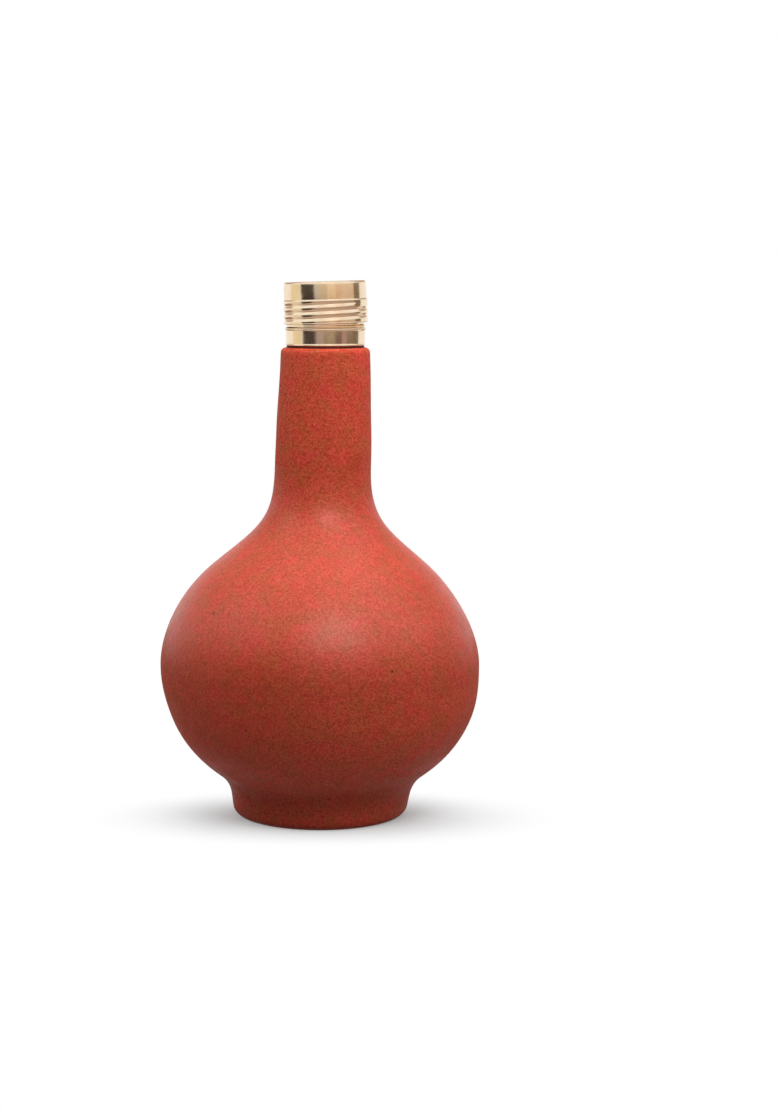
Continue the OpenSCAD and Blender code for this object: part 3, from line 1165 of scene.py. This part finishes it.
@dataclass
class Studio:
    """Pale floor and surround, soft light and the camera at the photo's viewing angle."""

    image: tuple[int, int] = (780, 1108)
    axis_px: float = 325.4
    camera_distance: float = 985 * MM
    camera_height: float = 240 * MM
    aim_height: float = 115.7 * MM
    focal_px: float = 2254.0
    sensor: float = 24.0
    clip: Point = (0.05, 30.0)
    world_level: float = 0.05
    floor_size: float = 6.0
    floor_seen: Colour = (0.60, 0.62, 0.62)
    floor_bounce: Colour = (0.26, 0.26, 0.26)
    pool: float = 0.11
    pool_squeeze: float = 1.95
    pool_forward: float = 11 * MM
    lamp_aim: float = 120 * MM
    # Name, place, width and height, watts, whether it shows in reflections.
    lamps: tuple[Lamp, ...] = (
        ("over_soft", (0.05, 0.15, 1.35), (1.2, 1.0), 11.0, False),
        ("front_soft", (0.17, -0.66, 0.76), (0.5, 0.34), 4.8, True),
        ("left_fill", (-0.50, -0.18, 0.62), (0.45, 0.45), 2.2, False),
        ("right_fill", (0.50, -0.18, 0.62), (0.45, 0.45), 2.1, False),
        ("right_low", (1.2, -0.3, 0.55), (0.7, 1.0), 1.8, False),
        ("left_back", (-1.0, 0.6, 0.6), (0.8, 0.8), 1.0, False),
    )
    card_step: float = 7.5
    # Upright cards: name, left and right side in degrees, lower and upper edge, tone.
    card_distance: float = 1.2
    screens: tuple[Card, ...] = (
        ("cream_left", -108, -74, 0.0, 0.42, (0.86, 0.78, 0.56)),
        ("left_flag", -71, -31, 0.19, 0.42, (0.045, 0.038, 0.034)),
        ("grey_strip", -31, -17, 0.19, 0.42, (0.60, 0.59, 0.56)),
        ("tan_near", -17, 6, 0.19, 0.42, (0.64, 0.56, 0.42)),
        ("sand_screen", 6, 28, 0.19, 0.42, (0.86, 0.70, 0.52)),
        ("warm_strip", 28, 44, 0.19, 0.42, (0.78, 0.54, 0.40)),
        ("tan_far", 44, 86, 0.19, 0.42, (0.76, 0.60, 0.47)),
        ("right_flag", 86, 110, 0.0, 0.42, (0.22, 0.17, 0.12)),
        ("low_flag", -68, -27, 0.0, 0.19, (0.060, 0.045, 0.045)),
        ("grey_low", -27, -5, 0.0, 0.19, (0.40, 0.32, 0.33)),
        ("olive_low", -5, 28, 0.0, 0.19, (0.29, 0.24, 0.18)),
        ("plum_low", 28, 48, 0.0, 0.19, (0.18, 0.12, 0.11)),
        ("rose_low", 48, 64, 0.0, 0.19, (0.40, 0.26, 0.25)),
        ("plum_far", 64, 86, 0.0, 0.19, (0.20, 0.15, 0.13)),
    )
    hood_distance: float = 0.125
    hood: Card = ("cap_hood", -21, 50, 0.262, 0.365, (0.90, 0.80, 0.75))
    back_distance: float = 1.25
    back_screen: Card = ("back_screen", 112, 248, 0.44, 1.90, (0.56, 0.43, 0.36))
    # Flat cards: name, left and right side in degrees, inner and outer radius, tone.
    cloth_height: float = 0.5 * MM
    cloths: tuple[Card, ...] = (
        ("near_cloth", 0, 360, 0.09, 0.30, (0.58, 0.44, 0.38)),
        ("left_cloth", -112, -70, 0.30, 1.15, (0.80, 0.70, 0.62)),
        ("flag_cloth", -70, -38, 0.30, 1.15, (0.06, 0.05, 0.04)),
        ("front_cloth", -38, 110, 0.30, 1.15, (0.46, 0.34, 0.30)),
        ("right_cloth", 110, 132, 0.30, 1.15, (0.80, 0.72, 0.66)),
        ("back_cloth", 132, 248, 0.30, 1.15, (0.36, 0.25, 0.20)),
    )

    def camera(self) -> None:
        """Sets the camera."""
        data = bpy.data.cameras.new("camera")
        data.sensor_fit = "VERTICAL"
        data.sensor_height = self.sensor
        data.lens = self.focal_px * self.sensor / self.image[1]
        data.shift_x = (self.image[0] / 2 - self.axis_px) / self.image[1]
        data.clip_start, data.clip_end = self.clip
        place = (0.0, -self.camera_distance, self.camera_height)
        bpy.context.scene.camera = add_aimed("camera", data, place, self.aim_height)

    def world(self) -> None:
        """Even white surround: full white to the eye and in reflections, dimmer as light."""
        mix = Recipe("studio", world=True)
        levels = {"Value": mix.seen(), "To Min": self.world_level, "To Max": 1.0}
        strength = mix.node("ShaderNodeMapRange", None, levels)
        light = {"Color": (1.0, 1.0, 1.0, 1.0), "Strength": strength}
        bpy.context.scene.world = mix.close(mix.node("ShaderNodeBackground", None, light))

    def floor(self) -> None:
        """Pale table that keeps the bottle's shadow and runs into the white surround."""
        mix = Recipe("pale_floor")
        seen = mix.seen()
        tone = mix.blend(seen, self.floor_bounce, self.floor_seen)
        matt = {"Base Color": tone, "Roughness": 0.9, "Specular IOR Level": 0.0}
        paint = mix.node("ShaderNodeBsdfPrincipled", None, matt)
        white = mix.node("ShaderNodeEmission", None, {"Color": (1, 1, 1, 1), "Strength": 1.0})
        squeeze = self.pool_squeeze
        away = mix.measure("LENGTH", mix.moved(
            Scale=(1.0, squeeze, 1.0), Location=(0.0, squeeze * self.pool_forward, 0.0)
        ))
        parts = {0: away.within(0.0, self.pool) * seen, 1: paint, 2: white}
        shape = bmesh.new()
        bmesh.ops.create_grid(shape, x_segments=8, y_segments=8, size=self.floor_size)
        material = mix.close(mix.node("ShaderNodeMixShader", None, parts))
        floor = add_mesh("floor", shape, material)

    def lamp(self, name: str, place: Place, size: Point, power: float, shines: bool) -> None:
        """Adds a soft rectangular lamp that faces the bottle's belly.

        Args:
            name: Name of the lamp.
            place: Where it stands.
            size: Its width and height.
            power: Its power in watts.
            shines: Whether it shows in reflections.
        """
        data = bpy.data.lights.new(name, "AREA")
        data.shape = "RECTANGLE"
        data.size, data.size_y = size
        data.energy = power
        add_aimed(name, data, place, self.lamp_aim).visible_glossy = shines

    def card(
        self, name: str, start: float, end: float, edges: Sequence[Point], tone: Colour
    ) -> None:
        """Adds a card that only reflections see, as a studio flag, screen or cloth.

        Args:
            name: Name of the card.
            start: Degrees round from the camera at its left side, positive to the right.
            end: Degrees at its right side.
            edges: Radius and height of its two edges.
            tone: Its colour, black for a flag.
        """
        shape = bmesh.new()
        points = [shape.verts.new((0.0, -r, z)) for r, z in edges]
        side = [*points, shape.edges.new(points)]
        bmesh.ops.rotate(shape, verts=points, matrix=Matrix.Rotation(math.radians(start), 3, "Z"))
        bmesh.ops.spin(
            shape, geom=side, cent=(0, 0, 0), axis=(0, 0, 1), angle=math.radians(end - start),
            steps=math.ceil((end - start) / self.card_step), use_merge=False,
            use_duplicate=False,
        )
        mix = Recipe(f"{name}_paint")
        paint = {"Color": mix.full(tone), "Strength": 1.0}
        card = add_mesh(name, shape, mix.close(mix.node("ShaderNodeEmission", None, paint)))
        for ray in ("camera", "diffuse", "shadow", "transmission"):
            setattr(card, f"visible_{ray}", False)

    def build(self) -> None:
        """Sets up the whole studio."""
        bpy.context.scene.view_settings.view_transform = "Standard"
        self.camera()
        self.world()
        self.floor()
        for lamp in self.lamps:
            self.lamp(*lamp)
        upright = [(self.card_distance, screen) for screen in self.screens]
        upright += [(self.hood_distance, self.hood), (self.back_distance, self.back_screen)]
        for reach, (name, start, end, low, high, tone) in upright:
            self.card(name, start, end, [(reach, low), (reach, high)], tone)
        for name, start, end, inner, outer, tone in self.cloths:
            lift = self.cloth_height
            self.card(name, start, end, [(inner, lift), (outer, lift)], tone)


def main() -> None:
    """Builds every sub-assembly around the frame, then the studio."""
    logging.basicConfig(level=logging.INFO, format="%(name)s: %(message)s")
    ClayBody(FiredClay().make()).build()
    Bedding(DarkBedding().make()).build()
    NeckRing("threaded_ring", PolishedSheet("ring_gold").make()).build()
    SealingDisc(SoftSeal().make()).build()
    ScrewCap("rolled_cap", PolishedSheet("cap_gold").make()).build()
    Studio().build()


if __name__ == "__main__":
    main()
